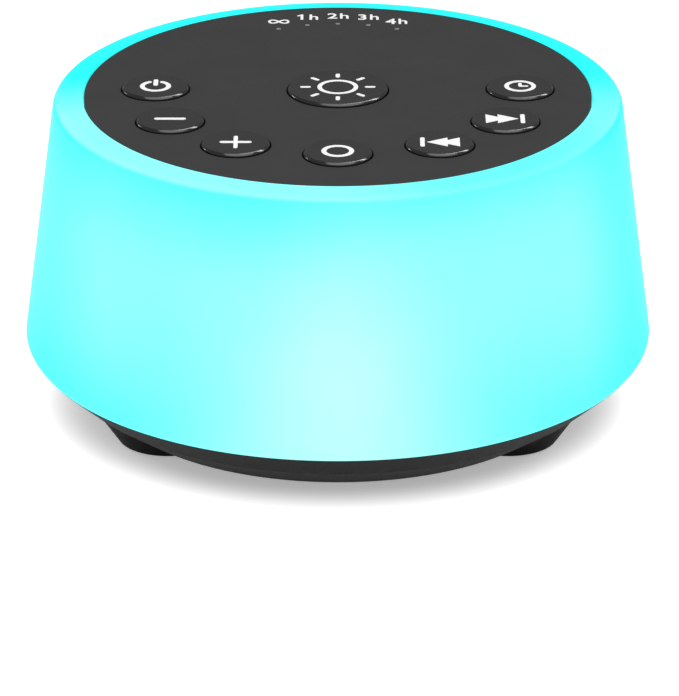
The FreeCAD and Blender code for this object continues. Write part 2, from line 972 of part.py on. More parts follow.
def speaker_leads():
    start_z = frame_z + frame_thick + frame_back_thick
    end_y = -inlet_lead_y()
    out_y = terminal_y() - 1.5 * lead_round
    middle_z = (start_z + connector_under) / 2
    path = [
        (terminal_y(), start_z), (terminal_y(), start_z + 1.5 * lead_round),
        (out_y, middle_z - lead_round), (out_y, middle_z + lead_round),
        (end_y, connector_under - 1.5 * lead_round), (end_y, connector_under),
    ]
    return quarter_turned(flat_lead(path, lead_thick, two_core_width, lead_round))


def light_ring_leads():
    start_x = core_r + lead_round
    start_z = flange_top + ring_board_thick
    end_x = light_lead_x()
    path = [(start_x, start_z), (start_x, light_lead_z), (end_x, light_lead_z), (end_x, connector_under)]
    return flat_lead(path, lead_thick, four_core_width, lead_round)


def control_ribbon():
    low_y = control_header_y() - ribbon_shift
    low_z = main_board_top + header_height
    high_z = control_board_under - header_height
    third = (high_z - low_z) / 3
    path = [
        (low_y, low_z), (low_y, low_z + third),
        (control_header_y(), high_z - third), (control_header_y(), high_z),
    ]
    return quarter_turned(flat_lead(path, ribbon_thick, ribbon_width, ribbon_round))


# Speaker

def speaker_gasket():
    ring = speaker_square(gasket_z, frame_z)
    cuts = [prism((0, 0), gasket_z, frame_z, speaker_mouth_r, wide_flat_count)]
    hole_r = small_screw[2] + clear_gap
    cuts += [prism(p, gasket_z, frame_z, hole_r, shank_flat_count) for p in speaker_screw_places()]
    return ring.cut(cuts)


def frame_slope():
    foot = (frame_skirt_r, frame_z + frame_thick)
    back = (frame_back_r, frame_z + frame_back_rise + frame_back_thick)
    return line_through(foot, back, frame_back_thick)


def pot_outer_r():
    return coil_r + coil_gap + pot_wall


def speaker_frame():
    foot_z = frame_z + frame_thick
    back_z = frame_z + frame_back_rise
    slope = frame_slope()
    basket = turned_flats([
        (at_height(slope, foot_z), foot_z), (frame_skirt_r, foot_z),
        (frame_back_r, back_z + frame_back_thick), (pot_outer_r() + pot_gap, back_z + frame_back_thick),
        (pot_outer_r() + pot_gap, back_z), (at_height(slope, back_z), back_z),
    ])
    low = foot_z + frame_thick
    window = block((frame_skirt_r, 0), low, low + frame_window_height, frame_skirt_r, frame_window_width)
    windows = []
    for angle in (45, 135, 225, 315):
        opening = window.copy()
        opening.rotate(Vec(0, 0, 0), up, angle)
        windows.append(opening)
    plate = speaker_square(frame_z, foot_z)
    holes = [prism((0, 0), frame_z, foot_z, at_height(slope, foot_z), wide_flat_count)]
    hole_r = small_screw[2] + clear_gap
    holes += [prism(p, frame_z, foot_z, hole_r, shank_flat_count) for p in speaker_screw_places()]
    return one_piece(plate.cut(holes), [basket.cut(windows)])


def speaker_terminals():
    low = frame_z + frame_thick
    return block((0, terminal_y()), low, low + frame_back_thick, terminal_width, terminal_depth)


def speaker_screws():
    low = frame_z + frame_thick
    return group([
        screw(p, low, small_screw, speaker_screw_length + frame_thick - thread_gap, False)
        for p in speaker_screw_places()
    ])


def speaker_surround():
    middle_r = (surround_out_r + surround_in_r) / 2
    low = frame_z - surround_thick
    return turned_flats([
        (surround_in_r, low), (middle_r, low - surround_roll), (surround_out_r, low),
        (surround_out_r, frame_z), (middle_r, frame_z - surround_roll), (surround_in_r, frame_z),
    ])


def speaker_cone():
    neck_z = frame_z + cone_depth
    return turned_flats([
        (cone_out_r, frame_z), (cone_out_r, frame_z + cone_thick),
        (coil_r, neck_z + cone_thick), (coil_r, neck_z),
    ])


def voice_coil():
    low = frame_z + cone_depth
    ring = prism((0, 0), low, low + coil_length, coil_r, wide_flat_count)
    return ring.cut(prism((0, 0), low, low + coil_length, coil_r - coil_thick, wide_flat_count))


def speaker_dust_cap():
    rim_z = frame_z + cone_depth + cap_thick
    rim_r = coil_r - coil_thick
    return turned_flats([
        (0, rim_z - cap_dip), (rim_r, rim_z), (rim_r, rim_z + cap_thick), (0, rim_z - cap_dip + cap_thick),
    ])


def speaker_spider():
    low = frame_z + spider_rise
    rim_r = at_height(frame_slope(), low + spider_thick) - pot_gap
    ring = prism((0, 0), low, low + spider_thick, rim_r, wide_flat_count)
    return ring.cut(prism((0, 0), low, low + spider_thick, coil_r + pot_gap, wide_flat_count))


def speaker_top_plate():
    low = frame_z + pot_rise
    return prism((0, 0), low, low + plate_thick, coil_r - coil_thick - coil_gap, wide_flat_count)


def speaker_magnet():
    low = frame_z + pot_rise + plate_thick
    return prism((0, 0), low, low + magnet_thick, coil_r - coil_thick - 2 * coil_gap, wide_flat_count)


def speaker_yoke():
    low = frame_z + pot_rise
    inner_top = low + plate_thick + magnet_thick
    pot = prism((0, 0), low, inner_top + pot_back, pot_outer_r(), wide_flat_count)
    return pot.cut(prism((0, 0), low, inner_top, coil_r + coil_gap, wide_flat_count))


def check_travel():
    # The coil may not reach the pot, nor a pressed button its switch.
    coil_top = frame_z + cone_depth + coil_length
    pot_floor = frame_z + pot_rise + plate_thick + magnet_thick
    print("coil to pot floor", round(pot_floor - coil_top, 2))
    print("button post to switch", round(plunger_proud - button_travel, 2))


def all_pieces():
    pieces = {
        "diffuser_shade": diffuser_shade(),
        "base_housing": base_housing(),
        "foot_pad_front_left": foot_pad(foot_angles[0]),
        "foot_pad_front_right": foot_pad(foot_angles[1]),
        "foot_pad_rear": foot_pad(foot_angles[2]),
        "grille_cloth": grille_cloth(),
        "base_screws": base_screws(),
        "core_housing": core_housing(),
        "core_screws": core_screws(),
        "light_ring_board": light_ring_board(),
        "mood_leds": mood_leds(),
        "top_panel": top_panel(),
        "tact_switches": tact_switches(),
        "control_board": control_board(),
        "control_board_screws": control_board_screws(),
        "timer_leds": timer_leds(),
        "indicator_light_guide": indicator_light_guide(),
        "main_board": main_board(),
        "main_board_screws": main_board_screws(),
        "board_connectors": board_connectors(),
        "board_chips": board_chips(),
        "board_capacitors": board_capacitors(),
        "usb_c_socket": usb_c_socket(),
        "usb_c_tongue": usb_c_tongue(),
        "inlet_board": inlet_board(),
        "inlet_leads": inlet_leads(),
        "speaker_leads": speaker_leads(),
        "light_ring_leads": light_ring_leads(),
        "control_ribbon": control_ribbon(),
        "speaker_gasket": speaker_gasket(),
        "speaker_frame": speaker_frame(),
        "speaker_terminals": speaker_terminals(),
        "speaker_screws": speaker_screws(),
        "speaker_surround": speaker_surround(),
        "speaker_cone": speaker_cone(),
        "voice_coil": voice_coil(),
        "speaker_dust_cap": speaker_dust_cap(),
        "speaker_spider": speaker_spider(),
        "speaker_top_plate": speaker_top_plate(),
        "speaker_magnet": speaker_magnet(),
        "speaker_yoke": speaker_yoke(),
    }
    for name in button_places():
        pieces[name + "_cap"] = button_cap(name)
        pieces[name + "_plunger"] = switch_plunger(name)
    return pieces


os.makedirs("parts", exist_ok=True)
for name, shape in all_pieces().items():
    if not shape.isValid():
        print("not valid:", name)
    shape.exportStep("parts/" + name + ".step")
check_travel()
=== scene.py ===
import json
import math
import bmesh
import bpy
from mathutils import Matrix, Vector


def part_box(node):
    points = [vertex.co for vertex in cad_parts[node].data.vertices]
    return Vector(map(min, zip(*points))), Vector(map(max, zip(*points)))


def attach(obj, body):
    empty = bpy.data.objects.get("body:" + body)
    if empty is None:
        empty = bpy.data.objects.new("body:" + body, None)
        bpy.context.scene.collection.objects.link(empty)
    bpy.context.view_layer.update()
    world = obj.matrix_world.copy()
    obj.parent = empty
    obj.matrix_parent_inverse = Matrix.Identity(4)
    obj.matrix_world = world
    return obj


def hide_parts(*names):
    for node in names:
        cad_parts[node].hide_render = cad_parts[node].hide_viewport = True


# White noise machine: frosted lit shade, black control panel, black base on three feet.
# Lengths are metres in the part's own frame. The front is -Y and the desk is z = 0.

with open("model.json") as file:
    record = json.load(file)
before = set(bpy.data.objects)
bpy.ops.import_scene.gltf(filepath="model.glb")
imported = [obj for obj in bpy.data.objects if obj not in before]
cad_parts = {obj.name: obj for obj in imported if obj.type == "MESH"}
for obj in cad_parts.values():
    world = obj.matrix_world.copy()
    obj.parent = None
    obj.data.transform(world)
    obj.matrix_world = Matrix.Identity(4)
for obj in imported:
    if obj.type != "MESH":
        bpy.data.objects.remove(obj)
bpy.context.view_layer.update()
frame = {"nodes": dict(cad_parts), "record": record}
nodes = frame["nodes"]
mm = 0.001
print("frame loaded:", len(nodes), "nodes")


# Material helpers: every pattern reads Object coordinates, in metres

noiseRange = (0.3, 0.7)  # nearly all of a noise pattern lies between these
noiseMiddle = 0.5


def newMaterial(name):
    material = bpy.data.materials.new(name)
    material.use_nodes = True
    tree = material.node_tree
    return material, tree, tree.nodes["Principled BSDF"]


def objectPoint(tree):
    return tree.nodes.new("ShaderNodeTexCoord").outputs["Object"]


def axes(tree, vector):
    split = tree.nodes.new("ShaderNodeSeparateXYZ")
    tree.links.new(vector, split.inputs[0])
    return split.outputs["X"], split.outputs["Y"], split.outputs["Z"]


def calc(tree, operation, *values):
    node = tree.nodes.new("ShaderNodeMath")
    node.operation = operation
    for socket, value in zip(node.inputs, values):
        if isinstance(value, (int, float)):
            socket.default_value = value
        else:
            tree.links.new(value, socket)
    return node.outputs[0]


def squared(tree, value):
    return calc(tree, "MULTIPLY", value, value)


def smoothRange(tree, value, low, high, toLow=0.0, toHigh=1.0):
    node = tree.nodes.new("ShaderNodeMapRange")
    node.interpolation_type = "SMOOTHSTEP"
    tree.links.new(value, node.inputs["Value"])
    node.inputs["From Min"].default_value = low
    node.inputs["From Max"].default_value = high
    node.inputs["To Min"].default_value = toLow
    node.inputs["To Max"].default_value = toHigh
    return node.outputs["Result"]


def noiseAt(tree, point, size, detail=2):
    # size is about the width of one patch, in metres
    node = tree.nodes.new("ShaderNodeTexNoise")
    tree.links.new(point, node.inputs["Vector"])
    node.inputs["Scale"].default_value = 1 / size
    node.inputs["Detail"].default_value = detail
    return node.outputs["Fac"]


def blendColors(tree, factor, first, second):
    # A Mix node takes its two colours at inputs 6 and 7 and gives the blend at output 2
    node = tree.nodes.new("ShaderNodeMix")
    node.data_type = "RGBA"
    tree.links.new(factor, node.inputs["Factor"])
    for socket, color in ((node.inputs[6], first), (node.inputs[7], second)):
        if isinstance(color, tuple):
            socket.default_value = (*color, 1)
        else:
            tree.links.new(color, socket)
    return node.outputs[2]


def blendValues(tree, factor, first, second):
    # Plain numbers go in at inputs 2 and 3 of a Mix node and come out at output 0
    node = tree.nodes.new("ShaderNodeMix")
    tree.links.new(factor, node.inputs["Factor"])
    tree.links.new(first, node.inputs[2])
    tree.links.new(second, node.inputs[3])
    return node.outputs[0]


def addBump(tree, shader, height, depth, strength):
    node = tree.nodes.new("ShaderNodeBump")
    node.inputs["Strength"].default_value = strength
    node.inputs["Distance"].default_value = depth
    tree.links.new(height, node.inputs["Height"])
    tree.links.new(node.outputs["Normal"], shader.inputs["Normal"])


def scaled(color, factor):
    return tuple(min(1.0, part * factor) for part in color)


# Where the gloss and the painted shade of a cap's edges end and its level top begins, as the upright share
# of a normal
polishAndShade = {"slopeEnds": 0.93, "levelBegins": 0.99}


def polishAndShadeEdges(tree, shader, look, color, rough):
    # Slopes and roundings are glossier than the level top, and painted a deeper black than it as shade on
    # the rims
    upright = axes(tree, tree.nodes.new("ShaderNodeTexCoord").outputs["Normal"])[2]
    level = smoothRange(tree, upright, polishAndShade["slopeEnds"], polishAndShade["levelBegins"])
    gloss = smoothRange(tree, level, 0, 1, look["edgeGloss"], look["gloss"])
    tree.links.new(gloss, shader.inputs["Specular IOR Level"])
    smoother = calc(tree, "MULTIPLY", rough, smoothRange(tree, level, 0, 1, look["edgeRough"], 1.0))
    tree.links.new(smoother, shader.inputs["Roughness"])
    tree.links.new(blendColors(tree, level, look["edgeShadeColor"], color), shader.inputs["Base Color"])


# What a surface has where its own look names nothing else
usualLook = {
    "patch": 9 * mm, "patchDetail": 3, "change": 0.08, "grain": 0.35 * mm, "spread": 0.05,
    "depth": 0.01 * mm, "bump": 0.6, "metal": 0.0, "gloss": 0.5, "coat": 0.0, "clear": 0.0, "ior": 1.5,
}
plainInputs = {
    "metal": "Metallic", "gloss": "Specular IOR Level", "coat": "Coat Weight",
    "clear": "Transmission Weight", "ior": "IOR",
}


def grained(name, ownLook):
    # Moulded or coated surface: soft mottling in the colour, grain in the gloss and in the surface
    look = {**usualLook, **ownLook}
    material, tree, shader = newMaterial(name)
    point = objectPoint(tree)
    patches = noiseAt(tree, point, look["patch"], look["patchDetail"])
    darker = scaled(look["color"], 1 - look["change"])
    lighter = scaled(look["color"], 1 + look["change"])
    color = blendColors(tree, patches, darker, lighter)
    tree.links.new(color, shader.inputs["Base Color"])
    grain = noiseAt(tree, point, look["grain"])
    smoothest = look["rough"] - look["spread"]
    roughest = look["rough"] + look["spread"]
    rough = smoothRange(tree, grain, *noiseRange, smoothest, roughest)
    tree.links.new(rough, shader.inputs["Roughness"])
    addBump(tree, shader, grain, look["depth"], look["bump"])
    for key, socket in plainInputs.items():
        shader.inputs[socket].default_value = look[key]
    if "edgeGloss" in look:
        polishAndShadeEdges(tree, shader, look, color, rough)
    return material


# What both cloths share; the hollows are painted darker as shade and the ridges lighter as painted light,
# as shares of the cloth's own colour
weave = {"hollow": 0.5, "litRidge": 1.4, "bump": 0.8, "sheen": 0.3}


def woven(name, look):
    # Cloth: threads that cross, as two sets of waves
    material, tree, shader = newMaterial(name)
    x, y = axes(tree, objectPoint(tree))[:2]
    turns = math.tau / look["thread"]
    across = calc(tree, "SINE", calc(tree, "MULTIPLY", x, turns))
    along = calc(tree, "SINE", calc(tree, "MULTIPLY", y, turns))
    height = smoothRange(tree, calc(tree, "MULTIPLY", across, along), -1, 1)
    # Painted shade in the hollows between threads and painted light on their ridges
    darker = scaled(look["color"], weave["hollow"])
    lighter = scaled(look["color"], weave["litRidge"])
    tree.links.new(blendColors(tree, height, darker, lighter), shader.inputs["Base Color"])
    addBump(tree, shader, height, look["depth"], weave["bump"])
    shader.inputs["Roughness"].default_value = look["rough"]
    shader.inputs["Sheen Weight"].default_value = weave["sheen"]
    return material


# Shade material: the glow of the light ring behind a milky wall, with painted shade at its two sides and a
# painted highlight along the crease.
# Light is given as how white it is, on a scale of 0 to 1 as a screen shows it.
glow = {
    "bandMiddle": 41 * mm, "bandBelow": 25 * mm, "bandAbove": 17 * mm,
    "bandLight": 0.575, "bandFall": 0.17,
    "sideBegins": 0.55, "sideEnds": 1.05, "paintedSideShade": 0.38, "sideLean": 0.2,
    "upperBegins": 42 * mm, "upperEnds": 52 * mm, "upperLean": 0.1, "upperPower": 3.0,
    "frontLight": 0.31, "frontBase": 0.04, "frontFoot": 14 * mm, "frontTop": 54 * mm, "frontPower": 1.2,
    "sharpFoot": 16 * mm, "frontSharp": 9, "sharpRise": 0.75 / mm, "leastSharp": 2.0,
    "rimZ": 58.3 * mm, "rimBelow": 0.5 * mm, "rimAbove": 0.2 * mm,
    "rimFront": 0.57, "rimRear": 0.16, "rearEnds": -0.35, "frontBegins": 0.3, "rimDip": 0.3,
    "paintedCreaseHighlight": 0.05, "creaseWide": 0.45 * mm, "cloudWide": 18 * mm, "cloudDepth": 0.05,
    "screenPower": 2.2, "green": 0.86, "blue": 0.86, "mirrored": 0.02,
}
# The frosted wall itself, under its glow
frosting = {
    "grain": 0.5 * mm, "depth": 0.004 * mm, "bump": 0.5, "gloss": 0.06, "smoothest": 0.48, "roughest": 0.56,
    "darker": (0.015, 0.26, 0.26), "lighter": (0.025, 0.30, 0.30),
}


def bandGlow(tree, z, sideways, forward):
    # The band of light half way up, weaker towards foot and rim
    offset = calc(tree, "SUBTRACT", z, glow["bandMiddle"])
    below = calc(tree, "DIVIDE", calc(tree, "MINIMUM", offset, 0.0), glow["bandBelow"])
    above = calc(tree, "DIVIDE", calc(tree, "MAXIMUM", offset, 0.0), glow["bandAbove"])
    away = calc(tree, "ADD", squared(tree, below), squared(tree, above))
    band = calc(tree, "SUBTRACT", glow["bandLight"], calc(tree, "MULTIPLY", away, glow["bandFall"]))
    # Painted shade: darker at the two sides, a little more on the right, for the dimming seen towards the
    # outline from the front
    aside = smoothRange(tree, squared(tree, sideways), glow["sideBegins"], glow["sideEnds"])
    lean = calc(tree, "ADD", 1.0, calc(tree, "MULTIPLY", sideways, glow["sideLean"]))
    sideShade = calc(tree, "MULTIPLY", calc(tree, "MULTIPLY", aside, lean), glow["paintedSideShade"])
    band = calc(tree, "MULTIPLY", band, calc(tree, "SUBTRACT", 1.0, sideShade))
    # Near the rim the right is a little lighter than the left
    upper = smoothRange(tree, z, glow["upperBegins"], glow["upperEnds"])
    upper = calc(tree, "MULTIPLY", upper, glow["upperLean"])
    facing = calc(tree, "POWER", calc(tree, "ABSOLUTE", forward), glow["upperPower"])
    oblique = calc(tree, "MULTIPLY", sideways, facing)
    return calc(tree, "ADD", band, calc(tree, "MULTIPLY", upper, oblique))


def frontGlow(tree, z, forward):
    # The strong light low in front, and the same behind, narrower further up
    climb = calc(tree, "MULTIPLY", calc(tree, "SUBTRACT", z, glow["sharpFoot"]), glow["sharpRise"])
    sharpness = calc(tree, "MAXIMUM", calc(tree, "ADD", climb, glow["frontSharp"]), glow["leastSharp"])
    lobe = calc(tree, "POWER", calc(tree, "ABSOLUTE", forward), sharpness)
    height = calc(tree, "MAXIMUM", calc(tree, "SUBTRACT", glow["frontTop"], z), 0.0)
    height = calc(tree, "DIVIDE", height, glow["frontTop"] - glow["frontFoot"])
    height = calc(tree, "POWER", height, glow["frontPower"])
    height = calc(tree, "ADD", calc(tree, "MULTIPLY", height, glow["frontLight"]), glow["frontBase"])
    return calc(tree, "MULTIPLY", lobe, height)


def rimGlow(tree, sideways, forward):
    # The sloping rim round the panel: deeper in colour at the rear, at the front right and rear left
    rim = smoothRange(tree, forward, glow["rearEnds"], glow["frontBegins"],
                      glow["rimRear"], glow["rimFront"])
    dip = calc(tree, "MAXIMUM", calc(tree, "MULTIPLY", sideways, forward), 0.0)
    return calc(tree, "SUBTRACT", rim, calc(tree, "MULTIPLY", dip, glow["rimDip"]))


def frostedShade():
    material, tree, shader = newMaterial("frostedShade")
    point = objectPoint(tree)
    x, y, z = axes(tree, point)
    radius = calc(tree, "SQRT", calc(tree, "ADD", squared(tree, x), squared(tree, y)))
    sideways = calc(tree, "DIVIDE", x, radius)
    forward = calc(tree, "DIVIDE", calc(tree, "MULTIPLY", y, -1.0), radius)
    side = calc(tree, "ADD", bandGlow(tree, z, sideways, forward), frontGlow(tree, z, forward))
    onRim = smoothRange(tree, z, glow["rimZ"] - glow["rimBelow"], glow["rimZ"] + glow["rimAbove"])
    white = blendValues(tree, onRim, side, rimGlow(tree, sideways, forward))
    # A painted highlight along the crease, and a faint cloudiness all over
    nearCrease = calc(tree, "ABSOLUTE", calc(tree, "SUBTRACT", z, glow["rimZ"]))
    crease = smoothRange(tree, nearCrease, 0.0, glow["creaseWide"], glow["paintedCreaseHighlight"], 0.0)
    cloud = calc(tree, "SUBTRACT", noiseAt(tree, point, glow["cloudWide"]), noiseMiddle)
    cloudy = calc(tree, "MULTIPLY", cloud, glow["cloudDepth"])
    white = calc(tree, "ADD", calc(tree, "ADD", white, crease), cloudy)
    # Green and blue stay full, so red alone makes the cyan whiter
    red = calc(tree, "SUBTRACT", calc(tree, "POWER", white, glow["screenPower"]), glow["mirrored"])
    color = tree.nodes.new("ShaderNodeCombineColor")
    tree.links.new(calc(tree, "MAXIMUM", red, 0.0), color.inputs[0])
    color.inputs[1].default_value = glow["green"]
    color.inputs[2].default_value = glow["blue"]
    tree.links.new(color.outputs[0], shader.inputs["Emission Color"])
    shader.inputs["Emission Strength"].default_value = 1.0
    frost = noiseAt(tree, point, frosting["grain"])
    tint = blendColors(tree, frost, frosting["darker"], frosting["lighter"])
    tree.links.new(tint, shader.inputs["Base Color"])
    rough = smoothRange(tree, frost, *noiseRange, frosting["smoothest"], frosting["roughest"])
    tree.links.new(rough, shader.inputs["Roughness"])
    shader.inputs["Specular IOR Level"].default_value = frosting["gloss"]
    addBump(tree, shader, frost, frosting["depth"], frosting["bump"])
    return material


# Circuit boards: the solder mask's two greens, with the copper tracks as the joints between bricks
boardTracks = {
    "Scale": 220, "Color1": (0.012, 0.16, 0.06, 1), "Color2": (0.016, 0.20, 0.075, 1),
    "Mortar": (0.03, 0.30, 0.12, 1), "Mortar Size": 0.03,
}
boardFinish = {"depth": 0.03 * mm, "bump": 0.5, "rough": 0.3}


def circuitBoard(name):
    material, tree, shader = newMaterial(name)
    tracks = tree.nodes.new("ShaderNodeTexBrick")
    tree.links.new(objectPoint(tree), tracks.inputs["Vector"])
    for socket, value in boardTracks.items():
        tracks.inputs[socket].default_value = value
    tree.links.new(tracks.outputs["Color"], shader.inputs["Base Color"])
    addBump(tree, shader, tracks.outputs["Fac"], boardFinish["depth"], boardFinish["bump"])
    shader.inputs["Roughness"].default_value = boardFinish["rough"]
    return material


# Each slot's own look
looks = {
    "black_base": {"color": (0.011, 0.011, 0.011), "rough": 0.5, "gloss": 0.02, "grain": 0.3 * mm},
    "black_panel": {"color": (0.051, 0.051, 0.051), "rough": 0.5, "gloss": 0.02, "grain": 0.25 * mm},
    # The caps' slopes are painted a deeper black than their tops, as painted shade on the rims
    "button_black": {"color": (0.04, 0.04, 0.04), "rough": 0.42, "gloss": 0.08, "depth": 0.001 * mm,
                     "edgeShadeColor": (0.006, 0.006, 0.006), "edgeGloss": 1.0, "edgeRough": 0.4},
    "plunger_white": {"color": (0.8, 0.8, 0.77), "rough": 0.4},
    "pad_rubber": {"color": (0.016, 0.016, 0.017), "rough": 0.8, "gloss": 0.3, "depth": 0.03 * mm},
    "screw_steel": {"color": (0.62, 0.62, 0.63), "rough": 0.3, "metal": 1.0, "grain": 0.1 * mm},
    "white_core": {"color": (0.84, 0.85, 0.84), "rough": 0.5, "grain": 0.4 * mm},
    "mood_light": {"color": (0.9, 0.88, 0.7), "rough": 0.25, "coat": 0.4},
    "timer_light": {"color": (0.88, 0.88, 0.82), "rough": 0.25, "coat": 0.4},
    "clear_guide": {"color": (0.38, 0.38, 0.38), "rough": 0.15, "clear": 0.4, "ior": 1.49},
    "switch_black": {"color": (0.02, 0.02, 0.021), "rough": 0.4},
    "connector_white": {"color": (0.82, 0.8, 0.72), "rough": 0.45},
    "chip_black": {"color": (0.02, 0.02, 0.022), "rough": 0.6},
    "capacitor_metal": {"color": (0.7, 0.7, 0.72), "rough": 0.3, "metal": 1.0, "grain": 0.15 * mm},
    "socket_steel": {"color": (0.66, 0.66, 0.66), "rough": 0.22, "metal": 1.0, "grain": 0.12 * mm},
    "lead_plastic": {"color": (0.5, 0.04, 0.03), "rough": 0.45},
    "ribbon_white": {"color": (0.82, 0.82, 0.8), "rough": 0.5},
    "foam_black": {"color": (0.02, 0.02, 0.02), "rough": 0.95, "grain": 0.6 * mm, "depth": 0.15 * mm},
    "speaker_steel": {"color": (0.45, 0.45, 0.46), "rough": 0.35, "metal": 1.0, "grain": 0.15 * mm},
    "terminal_brass": {"color": (0.75, 0.58, 0.25), "rough": 0.3, "metal": 1.0},
    "magnet_dark": {"color": (0.06, 0.06, 0.065), "rough": 0.5},
    "cone_paper": {"color": (0.05, 0.05, 0.052), "rough": 0.9, "grain": 0.5 * mm, "depth": 0.05 * mm},
    "coil_copper": {"color": (0.8, 0.36, 0.18), "rough": 0.3, "metal": 1.0, "grain": 0.12 * mm},
}
finish = {slot: grained(slot, look) for slot, look in looks.items()}
finish["frosted_shade"] = frostedShade()
finish["circuit_board"] = circuitBoard("circuit_board")
finish["speaker_cloth"] = woven("speaker_cloth", {
    "color": (0.03, 0.03, 0.032), "thread": 0.5 * mm, "depth": 0.08 * mm, "rough": 0.9,
})
finish["spider_cloth"] = woven("spider_cloth", {
    "color": (0.45, 0.32, 0.14), "thread": 0.4 * mm, "depth": 0.05 * mm, "rough": 0.85,
})
signWhite = grained("signWhite", {"color": (0.95, 0.95, 0.95), "rough": 0.5, "change": 0.02, "gloss": 0.3})
print("materials ready")


# Every CAD node takes the finish of its slot; further down, pieces replace the ones in view
for part in frame["record"]["subparts"]:
    mesh = nodes[part["node"]].data
    mesh.materials.clear()
    mesh.materials.append(finish[part["material_slot"]])
print("nodes painted")


# Mesh helpers

sameSpot = 1e-7  # corners nearer than this are one
sameCadSpot = 1e-6  # corners of a CAD node's loose triangles nearer than this are one
sameHeight = 1e-6  # corners that differ less in height are level
sameRadius = 1e-5  # corners that differ less in radius are on one ring
flatAngle = 0.5  # faces that meet at less than these degrees are one flat face
levelNormal = 0.99999  # faces whose normals stand more upright than this are level


def inScene(name, data):
    thing = bpy.data.objects.new(name, data)
    bpy.context.scene.collection.objects.link(thing)
    return thing


def placeForm(name, bm, material, body, standsFor=(), sharpAngle=30):
    mesh = bpy.data.meshes.new(name)
    bm.to_mesh(mesh)
    bm.free()
    mesh.materials.append(material)
    mesh.shade_smooth()
    mesh.set_sharp_from_angle(angle=math.radians(sharpAngle))
    for polygon in mesh.polygons:
        # A level or many-cornered face is truly flat, so the roundings beside it don't bend its light
        polygon.use_smooth = polygon.loop_total <= 4 and abs(polygon.normal.z) < levelNormal
    piece = inScene(name, mesh)
    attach(piece, body)
    if standsFor:
        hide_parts(*standsFor)
    return piece


def turnedForm(corners, steps):
    # Turns a closed outline of (radius, height) corners round the Z axis
    bm = bmesh.new()
    verts = [bm.verts.new((radius, 0, height)) for radius, height in corners]
    for vert, following in zip(verts, verts[1:] + verts[:1]):
        # A line along the axis itself makes no face
        if max(vert.co.x, following.co.x) > sameSpot:
            bm.edges.new((vert, following))
    bmesh.ops.spin(bm, geom=bm.verts[:] + bm.edges[:], cent=(0, 0, 0), axis=(0, 0, 1),
                   angle=math.tau, steps=steps, use_merge=True)
    bmesh.ops.remove_doubles(bm, verts=bm.verts[:], dist=sameSpot)
    bmesh.ops.recalc_face_normals(bm, faces=bm.faces[:])
    return bm


def softened(bm, edges, width, segments):
    bmesh.ops.bevel(bm, geom=edges, offset=width, offset_type="OFFSET", segments=segments,
                    profile=0.5, affect="EDGES", material=-1)


def roundRing(bm, corner, width, segments=4):
    # Rounds the ring of edges that one corner of a turned outline made
    radius, height = corner

    def onRing(vert):
        return abs(vert.co.z - height) < sameHeight and abs(vert.co.xy.length - radius) < sameRadius

    softened(bm, [edge for edge in bm.edges if all(onRing(v) for v in edge.verts)], width, segments)


def levelEdges(bm, above, leastAngle):
    # The level edges above a height, where two faces meet at more than an angle in radians
    found = []
    for edge in bm.edges:
        low, high = sorted(v.co.z for v in edge.verts)
        if low > above and high - low < sameHeight and edge.calc_face_angle(0) > leastAngle:
            found.append(edge)
    return found


def cadCopy(node):
    # A copy of a CAD node's loose triangles, merged, with its flat faces whole again
    bm = bmesh.new()
    bm.from_mesh(nodes[node].data)
    bmesh.ops.remove_doubles(bm, verts=bm.verts[:], dist=sameCadSpot)
    bmesh.ops.dissolve_limit(bm, angle_limit=math.radians(flatAngle), verts=bm.verts[:], edges=bm.edges[:])
    return bm


def block(length, width, height):
    bm = bmesh.new()
    bmesh.ops.create_cube(bm, size=1)
    bmesh.ops.scale(bm, verts=bm.verts[:], vec=(length, width, height))
    return bm


def shifted(bm, place):
    bmesh.ops.translate(bm, verts=bm.verts[:], vec=Vector(place))
    return bm


def turned(bm, degrees):
    turn = Matrix.Rotation(math.radians(degrees), 4, "Z")
    bmesh.ops.rotate(bm, verts=bm.verts[:], cent=(0, 0, 0), matrix=turn)
    return bm


def raised(bm, height):
    # Gives a flat form its thickness, upwards
    lifted = bmesh.ops.extrude_face_region(bm, geom=bm.faces[:])
    verts = [item for item in lifted["geom"] if isinstance(item, bmesh.types.BMVert)]
    bmesh.ops.translate(bm, verts=verts, vec=(0, 0, height))
    bmesh.ops.recalc_face_normals(bm, faces=bm.faces[:])
    return bm


def onCircle(radius, degrees):
    angle = math.radians(degrees)
    return radius * math.cos(angle), radius * math.sin(angle)


def asShown(holder):
    # A form of what an object's modifiers or letters come to
    bpy.context.view_layer.update()
    shown = holder.evaluated_get(bpy.context.evaluated_depsgraph_get())
    mesh = bpy.data.meshes.new_from_object(shown)
    bm = bmesh.new()
    bm.from_mesh(mesh)
    bpy.data.meshes.remove(mesh)
    return bm


def solidOf(first, second, operation):
    # Joins two closed forms, or cuts the second out of the first
    holders = []
    for label, form in (("first", first), ("second", second)):
        mesh = bpy.data.meshes.new(label)
        form.to_mesh(mesh)
        form.free()
        holders.append(inScene(label, mesh))
    step = holders[0].modifiers.new("solidOf", "BOOLEAN")
    step.operation = operation
    step.solver = "EXACT"
    step.object = holders[1]
    bm = asShown(holders[0])
    for holder in holders:
        bpy.data.objects.remove(holder)
    return bm


def combined(parts):
    # Forms that stand apart from each other, in one mesh
    bm = bmesh.new()
    for part in parts:
        mesh = bpy.data.meshes.new("part")
        part.to_mesh(mesh)
        part.free()
        bm.from_mesh(mesh)
        bpy.data.meshes.remove(mesh)
    return bm


def united(parts):
    # Forms that overlap, made one
    bm = parts[0]
    for part in parts[1:]:
        bm = solidOf(bm, part, "UNION")
    return bm


